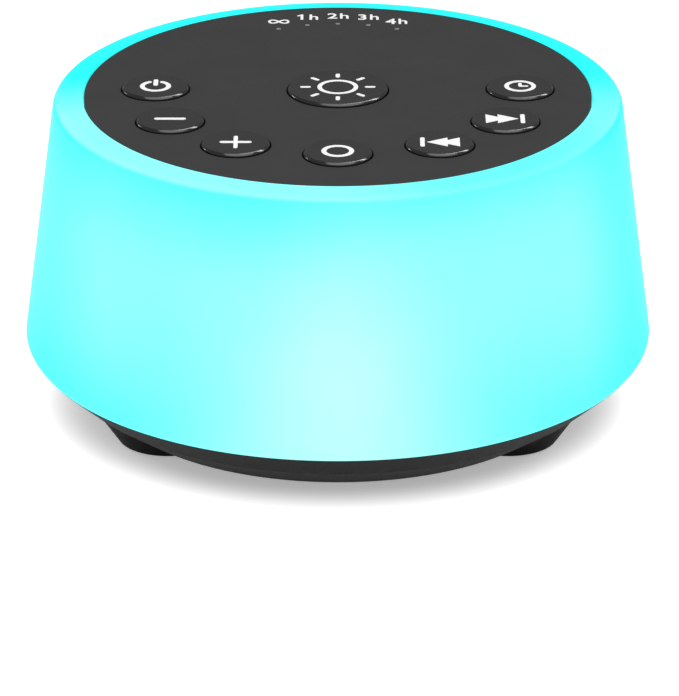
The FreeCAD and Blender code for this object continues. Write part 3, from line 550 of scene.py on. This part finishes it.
# Shade: rounded foot, straight flaring side, soft crease and sloping rim, ledge for the panel
shade = {
    "footR": 54.7 * mm, "footZ": 12.6 * mm, "widestR": 56.0 * mm, "widestZ": 14.2 * mm,
    "sideTopR": 50.19 * mm, "sideTopZ": 57.65 * mm, "rimOuterR": 49.4 * mm, "rimOuterZ": 58.44 * mm,
    "seatR": 44.95 * mm, "seatZ": 59.1 * mm, "ledgeZ": 56.9 * mm, "ledgeR": 41.75 * mm,
    "ledgeUnderZ": 54.9 * mm, "wallFootR": 53.62 * mm, "wallTopR": 48.0 * mm,
    "footRound": 0.4 * mm, "widestRound": 0.9 * mm, "sideTopRound": 0.5 * mm,
    "rimOuterRound": 0.45 * mm, "seatRound": 0.2 * mm, "widestSteps": 5, "turnSteps": 192,
}


def shadeShell():
    s = shade
    outline = [
        (s["wallFootR"], s["footZ"]), (s["footR"], s["footZ"]), (s["widestR"], s["widestZ"]),
        (s["sideTopR"], s["sideTopZ"]), (s["rimOuterR"], s["rimOuterZ"]), (s["seatR"], s["seatZ"]),
        (s["seatR"], s["ledgeZ"]), (s["ledgeR"], s["ledgeZ"]), (s["ledgeR"], s["ledgeUnderZ"]),
        (s["wallTopR"], s["ledgeUnderZ"]),
    ]
    bm = turnedForm(outline, s["turnSteps"])
    roundRing(bm, outline[1], s["footRound"])
    roundRing(bm, outline[2], s["widestRound"], s["widestSteps"])
    roundRing(bm, outline[3], s["sideTopRound"])
    roundRing(bm, outline[4], s["rimOuterRound"])
    roundRing(bm, outline[5], s["seatRound"])
    milky = finish["frosted_shade"]
    shell = placeForm("shadeShell", bm, milky, "housing", ["diffuser_shade"])
    # The photograph shows no colour from the shade on the floor
    shell.visible_diffuse = False


shadeShell()
print("shade ready")


# Panel: the plate with softened edges at its rim and at every hole
panel = {"topZ": 59.1 * mm, "edgeRound": 0.12 * mm, "edgeSteps": 2, "leastAngle": 1.0}


def panelPlate():
    bm = cadCopy("top_panel")
    rims = levelEdges(bm, panel["topZ"] - sameHeight, panel["leastAngle"])
    softened(bm, rims, panel["edgeRound"], panel["edgeSteps"])
    placeForm("panelPlate", bm, finish["black_panel"], "housing", ["top_panel"])


panelPlate()
print("panel ready")


# Buttons: caps with rounded edges, a hair lower than the CAD's so that the white sign lies on top
caps = {"signRise": 0.04 * mm, "edgeRound": 0.14 * mm, "edgeSteps": 3, "edgeDepth": 0.5 * mm,
        "leastAngle": 0.3}


def buttonCentre(name):
    low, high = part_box(name + "_plunger")
    return (low.x + high.x) / 2, (low.y + high.y) / 2


def capForm(name):
    bm = cadCopy(name + "_cap")
    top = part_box(name + "_cap")[1].z
    rings = levelEdges(bm, top - caps["edgeDepth"], caps["leastAngle"])
    softened(bm, rings, caps["edgeRound"], caps["edgeSteps"])
    for vert in bm.verts:
        if vert.co.z > top - sameHeight:
            vert.co.z -= caps["signRise"]
    body = name + "_button"
    placeForm(name + "Cap", bm, finish["button_black"], body, [name + "_cap"])


# Signs are flat white prints: bars, rings and arrow heads, drawn about the button's centre.
# Steps are the facets of a full disc, of a bar's rounded corner, and of an open and a closed ring.
prints = {"discSteps": 20, "barSteps": 5, "barCorner": 0.46, "openSteps": 48, "ringSteps": 64}


def printed(bm, place):
    # Sets a form that is centred on the origin down on the cap, at its place
    return shifted(bm, (*place, caps["signRise"] / 2))


def signDisc(radius, place):
    bm = bmesh.new()
    bmesh.ops.create_cone(bm, cap_ends=True, segments=prints["discSteps"], radius1=radius, radius2=radius,
                          depth=caps["signRise"])
    return printed(bm, place)


def signBar(length, width, place=(0, 0), angle=0):
    bm = block(length, width, caps["signRise"])
    upright = [e for e in bm.edges if abs(e.verts[0].co.z - e.verts[1].co.z) > sameSpot]
    softened(bm, upright, width * prints["barCorner"], prints["barSteps"])
    return printed(turned(bm, angle), place)


def signRing(outerR, stroke, gap=0):
    # A flat ring; a gap, in degrees, opens it at the top, with round ends
    inner = outerR - stroke
    rise = caps["signRise"]
    section = [(inner, 0), (outerR, 0), (outerR, rise), (inner, rise)]
    if not gap:
        return turnedForm(section, prints["ringSteps"])
    bm = bmesh.new()
    face = bm.faces.new([bm.verts.new((radius, 0, height)) for radius, height in section])
    geom = [face] + list(face.edges) + list(face.verts)
    bmesh.ops.spin(bm, geom=geom, cent=(0, 0, 0), axis=(0, 0, 1), angle=math.radians(360 - gap),
                   steps=prints["openSteps"])
    bmesh.ops.recalc_face_normals(bm, faces=bm.faces[:])
    turned(bm, 90 + gap / 2)
    for angle in (90 - gap / 2, 90 + gap / 2):
        end = signDisc(stroke / 2, onCircle((inner + outerR) / 2, angle))
        bm = solidOf(bm, end, "UNION")
    return bm


def signArrow(tip, length, height):
    # A solid arrow head from its tip; a negative length points it to the left
    bm = bmesh.new()
    corners = [(tip, 0, 0), (tip - length, height / 2, 0), (tip - length, -height / 2, 0)]
    bm.faces.new([bm.verts.new(spot) for spot in corners])
    return raised(bm, caps["signRise"])


power = {"ringR": 2.75 * mm, "stroke": 0.85 * mm, "gap": 58, "bar": 3.1 * mm, "barWide": 0.82 * mm,
         "barUp": 1.8 * mm}


def powerSign():
    ring = signRing(power["ringR"], power["stroke"], power["gap"])
    bar = signBar(power["bar"], power["barWide"], (0, power["barUp"]), 90)
    return combined([ring, bar])


minus = {"bar": 5.5 * mm, "barWide": 0.95 * mm}


def minusSign():
    return signBar(minus["bar"], minus["barWide"])


plus = {"bar": 5.5 * mm, "barWide": 0.92 * mm, "upright": 5.8 * mm, "uprightWide": 0.72 * mm}


def plusSign():
    upright = signBar(plus["upright"], plus["uprightWide"], angle=90)
    return united([signBar(plus["bar"], plus["barWide"]), upright])


play = {"ringR": 2.8 * mm, "stroke": 0.85 * mm}


def playSign():
    return signRing(play["ringR"], play["stroke"])


skip = {"bar": 4.3 * mm, "barWide": 0.78 * mm, "barAt": 2.98 * mm, "nearTip": 2.26 * mm,
        "farTip": 0.16 * mm, "arrow": 3.6 * mm, "arrowHigh": 4.2 * mm}


def skipSign(way):
    # way is 1 for next and -1 for previous
    bar = signBar(skip["bar"], skip["barWide"], (way * skip["barAt"], 0), 90)
    near = signArrow(way * skip["nearTip"], way * skip["arrow"], skip["arrowHigh"])
    far = signArrow(way * skip["farTip"], way * skip["arrow"], skip["arrowHigh"])
    return combined([bar, united([near, far])])


clock = {"ringR": 2.8 * mm, "stroke": 0.8 * mm, "handWide": 0.62 * mm, "longHand": 1.9 * mm,
         "longUp": 0.64 * mm, "shortHand": 1.75 * mm, "shortAside": 0.56 * mm}


def clockSign():
    ring = signRing(clock["ringR"], clock["stroke"])
    longHand = signBar(clock["longHand"], clock["handWide"], (0, clock["longUp"]), 90)
    shortHand = signBar(clock["shortHand"], clock["handWide"], (clock["shortAside"], 0))
    return combined([ring, united([longHand, shortHand])])


sun = {"ringR": 3.6 * mm, "stroke": 0.78 * mm, "rays": 8, "ray": 1.9 * mm, "rayWide": 0.76 * mm,
       "rayAt": 5.7 * mm}


def sunSign():
    parts = [signRing(sun["ringR"], sun["stroke"])]
    for i in range(sun["rays"]):
        angle = 360 / sun["rays"] * i
        parts.append(signBar(sun["ray"], sun["rayWide"], onCircle(sun["rayAt"], angle), angle))
    return combined(parts)


signs = {
    "power": powerSign, "volume_down": minusSign, "volume_up": plusSign, "play": playSign,
    "previous": lambda: skipSign(-1), "next": lambda: skipSign(1), "timer": clockSign, "light": sunSign,
}
for name, drawSign in signs.items():
    capForm(name)
    x, y = buttonCentre(name)
    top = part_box(name + "_cap")[1].z
    sign = shifted(drawSign(), (x, y, top - caps["signRise"]))
    placeForm(name + "Sign", sign, signWhite, name + "_button")
print("buttons and signs ready")


# Timer marks on the panel: an endless loop and one to four hours
marks = {
    "rise": 0.04 * mm, "letter": 3.9 * mm, "bold": 0.06 * mm, "apart": 1.12,
    "hours": [("1h", -5.5 * mm, 39.1 * mm), ("2h", 0.1 * mm, 39.7 * mm), ("3h", 5.6 * mm, 39.1 * mm),
              ("4h", 10.8 * mm, 36.8 * mm)],
    "oneWide": 0.5 * mm, "flagLong": 1.1 * mm, "flagWide": 0.42 * mm, "flagLeft": 0.17 * mm,
    "flagDown": 0.5 * mm, "flagAngle": 38, "flagThin": 0.9,
    "loopPlace": (-10.8 * mm, 36.8 * mm), "loopReach": 1.75 * mm, "loopHigh": 1.35, "loopStroke": 0.45 * mm,
    "loopSteps": 28, "loopNudge": 0.01,
}


def flagged(bm):
    # The typeface's 1 is a plain stroke, and the photograph's has a flag
    left = min(v.co.x for v in bm.verts)
    top = max(v.co.y for v in bm.verts if v.co.x < left + marks["oneWide"])
    place = (left - marks["flagLeft"], top - marks["flagDown"])
    flag = signBar(marks["flagLong"], marks["flagWide"], place, marks["flagAngle"])
    shifted(flag, (0, 0, -marks["rise"] / 2))
    # A little thinner than the stroke, so that no two faces share a plane
    bmesh.ops.scale(flag, verts=flag.verts[:], vec=(1, 1, marks["flagThin"]))
    return solidOf(bm, flag, "UNION")


def hourMark(word, x, y):
    curve = bpy.data.curves.new("hourMark", "FONT")
    curve.body = word
    curve.size = marks["letter"]
    curve.offset = marks["bold"]
    curve.space_character = marks["apart"]
    curve.extrude = marks["rise"] / 2
    curve.align_x = "CENTER"
    curve.align_y = "CENTER"
    holder = inScene("hourMark", curve)
    bm = asShown(holder)
    bpy.data.objects.remove(holder)
    bpy.data.curves.remove(curve)
    bmesh.ops.remove_doubles(bm, verts=bm.verts[:], dist=sameSpot)
    if word.startswith("1"):
        bm = flagged(bm)
    shifted(bm, (x, y, panel["topZ"] + marks["rise"] / 2))
    placeForm("mark" + word, bm, signWhite, "housing")


def loopPoint(turn):
    # A lying figure of eight
    spread = marks["loopReach"] / (1 + math.sin(turn) ** 2)
    x = spread * math.cos(turn)
    return Vector((x, x * math.sin(turn) * marks["loopHigh"], 0))


def loopStrand(start):
    # Half of the figure, from one end to the other, as a flat band
    bm = bmesh.new()
    rows = []
    for i in range(marks["loopSteps"] + 1):
        turn = start + math.pi * i / marks["loopSteps"]
        way = loopPoint(turn + marks["loopNudge"]) - loopPoint(turn - marks["loopNudge"])
        way.normalize()
        aside = Vector((-way.y, way.x, 0)) * marks["loopStroke"] / 2
        rows.append([bm.verts.new(loopPoint(turn) + aside), bm.verts.new(loopPoint(turn) - aside)])
    for row, following in zip(rows, rows[1:]):
        bm.faces.new((row[0], row[1], following[1], following[0]))
    return raised(bm, marks["rise"])


def loopMark():
    x, y = marks["loopPlace"]
    bm = united([loopStrand(0), loopStrand(math.pi)])
    placeForm("markLoop", shifted(bm, (x, y, panel["topZ"])), signWhite, "housing")


for word, x, y in marks["hours"]:
    hourMark(word, x, y)
loopMark()
print("timer marks ready")


# Base: bowl, feet, grille and inlet recess, with the CAD's form and smooth shading
bowl = {"sharpAngle": 28}


def baseBowl():
    bm = cadCopy("base_housing")
    black = finish["black_base"]
    placeForm("baseBowl", bm, black, "housing", ["base_housing"], bowl["sharpAngle"])


# Rubber pads under the feet
pads = {"radius": 7.6 * mm, "thick": 1.8 * mm, "edge": 0.45 * mm, "turnSteps": 64}


def footPad(node):
    low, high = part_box(node)
    outline = [(0, 0), (pads["radius"], 0), (pads["radius"], pads["thick"]), (0, pads["thick"])]
    bm = turnedForm(outline, pads["turnSteps"])
    roundRing(bm, outline[1], pads["edge"])
    shifted(bm, ((low.x + high.x) / 2, (low.y + high.y) / 2, 0))
    name = node.replace("foot_pad", "pad")
    placeForm(name, bm, finish["pad_rubber"], "housing", [node])


# Base screws: pan heads with a cross recess, seen from below
screws = {"headR": 2.6 * mm, "headHigh": 1.8 * mm, "headRound": 0.7 * mm, "roundSteps": 5,
          "shankR": 1.4 * mm, "recess": 1.0 * mm, "slot": 0.75 * mm, "cross": 2.9 * mm, "turnSteps": 40,
          "angles": (30, 150, 270)}


def screwForm():
    s = screws
    low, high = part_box("base_screws")
    length = high.z - low.z
    outline = [(0, 0), (s["headR"], 0), (s["headR"], s["headHigh"]), (s["shankR"], s["headHigh"]),
               (s["shankR"], length), (0, length)]
    bm = turnedForm(outline, s["turnSteps"])
    roundRing(bm, outline[1], s["headRound"], s["roundSteps"])
    bars = [turned(block(s["cross"], s["slot"], s["recess"] * 2), angle) for angle in (0, 90)]
    return solidOf(bm, united(bars), "DIFFERENCE")


def baseScrews():
    low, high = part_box("base_screws")
    placeR = -low.y - screws["headR"]
    one = screwForm()
    three = [shifted(one.copy(), (*onCircle(placeR, angle), low.z)) for angle in screws["angles"]]
    one.free()
    steel = finish["screw_steel"]
    placeForm("baseScrews", combined(three), steel, "housing", ["base_screws"])


def inletSocket():
    bm = cadCopy("usb_c_socket")
    placeForm("inletSocket", bm, finish["socket_steel"], "housing", ["usb_c_socket"])


baseBowl()
for node in ("foot_pad_front_left", "foot_pad_front_right", "foot_pad_rear"):
    footPad(node)
baseScrews()
inletSocket()
print("base ready")


# Floor, light and camera
stage = {
    # The outer glow of the floor is painted light, which cuts the shadow short
    "floorReach": 4, "floorColor": 0.9, "floorGlow": 0.36, "paintedLightAround": 0.49,
    "nearR": 44 * mm, "farR": 58 * mm, "shadowSquash": 1.17, "skyFill": 0.65, "skyMirror": 0.25,
}
# The edge lamp only shows as a shine on the rims of the buttons
lamps = {
    "keyLamp": {"place": (0.15, -0.4, 1.15), "wide": 1.5, "high": 1.5, "power": 8.6, "onMatt": True},
    "edgeLamp": {"place": (0.52, 0.21, 0.87), "wide": 0.16, "high": 1.1, "power": 4.2, "onMatt": False},
    "backLamp": {"place": (-0.75, 0.45, 0.24), "wide": 0.2, "high": 0.08, "power": 0.5, "onMatt": True},
}
lampAim = (0, 0, 0.04)
view = {"place": (0.0003, -0.8268, 0.3676), "down": 23.39, "lens": 258.7, "sensor": 36.0, "nearest": 0.05}


def rayIs(tree, *kinds):
    # 1 for a ray of any of these kinds, and 0 for the others
    path = tree.nodes.new("ShaderNodeLightPath")
    found = path.outputs[kinds[0]]
    for kind in kinds[1:]:
        found = calc(tree, "MAXIMUM", found, path.outputs[kind])
    return found


def floorMaterial():
    material, tree, shader = newMaterial("paleFloor")
    tree.nodes.remove(shader)
    diffuse = tree.nodes.new("ShaderNodeBsdfDiffuse")
    diffuse.inputs["Color"].default_value = (stage["floorColor"],) * 3 + (1,)
    light = tree.nodes.new("ShaderNodeEmission")
    # Painted light: the floor is painted a little brighter outside the object, so that the shadow ends as
    # close as in the photograph
    squash = tree.nodes.new("ShaderNodeVectorMath")
    squash.operation = "MULTIPLY"
    squash.inputs[1].default_value = (1, stage["shadowSquash"], 1)
    tree.links.new(objectPoint(tree), squash.inputs[0])
    away = tree.nodes.new("ShaderNodeVectorMath")
    away.operation = "LENGTH"
    tree.links.new(squash.outputs[0], away.inputs[0])
    far = smoothRange(tree, away.outputs["Value"], stage["nearR"], stage["farR"], 0.0, stage["paintedLightAround"])
    # It glows for the camera, and where mirrors and glass show it, but lights nothing
    seen = rayIs(tree, "Is Camera Ray", "Is Glossy Ray", "Is Transmission Ray")
    strength = calc(tree, "MULTIPLY", seen, calc(tree, "ADD", far, stage["floorGlow"]))
    tree.links.new(strength, light.inputs["Strength"])
    both = tree.nodes.new("ShaderNodeAddShader")
    tree.links.new(diffuse.outputs[0], both.inputs[0])
    tree.links.new(light.outputs[0], both.inputs[1])
    tree.links.new(both.outputs[0], tree.nodes["Material Output"].inputs["Surface"])
    return material


def paleFloor():
    bm = bmesh.new()
    bmesh.ops.create_grid(bm, x_segments=1, y_segments=1, size=stage["floorReach"])
    mesh = bpy.data.meshes.new("floor")
    bm.to_mesh(mesh)
    bm.free()
    mesh.materials.append(floorMaterial())
    floor = inScene("floor", mesh)


def paleWorld():
    # White behind the object, dimmer as a light on it, and dimmer still in its mirrors
    world = bpy.data.worlds.new("paleWorld")
    world.use_nodes = True
    tree = world.node_tree
    sky = tree.nodes["Background"]
    sky.inputs["Color"].default_value = (1, 1, 1, 1)
    direct = rayIs(tree, "Is Camera Ray", "Is Transmission Ray")
    strength = smoothRange(tree, direct, 0, 1, stage["skyFill"], 1.0)
    lower = calc(tree, "MULTIPLY", rayIs(tree, "Is Glossy Ray"), stage["skyFill"] - stage["skyMirror"])
    tree.links.new(calc(tree, "SUBTRACT", strength, lower), sky.inputs["Strength"])
    bpy.context.scene.world = world


def softLamp(name, size):
    lamp = bpy.data.lights.new(name, "AREA")
    lamp.shape = "ELLIPSE"
    lamp.size = size["wide"]
    lamp.size_y = size["high"]
    lamp.energy = size["power"]
    holder = inScene(name, lamp)
    holder.location = size["place"]
    holder.visible_diffuse = size["onMatt"]
    aim = Vector(lampAim) - Vector(size["place"])
    holder.rotation_euler = aim.to_track_quat("-Z", "Y").to_euler()


def photoCamera():
    lens = bpy.data.cameras.new("photoCamera")
    lens.lens = view["lens"]
    lens.sensor_width = view["sensor"]
    lens.clip_start = view["nearest"]
    holder = inScene("photoCamera", lens)
    holder.location = view["place"]
    holder.rotation_euler = (math.radians(90 - view["down"]), 0, 0)
    bpy.context.scene.camera = holder


paleFloor()
paleWorld()
for name, size in lamps.items():
    softLamp(name, size)
photoCamera()
bpy.context.scene.view_settings.view_transform = "Standard"
print("stage ready")
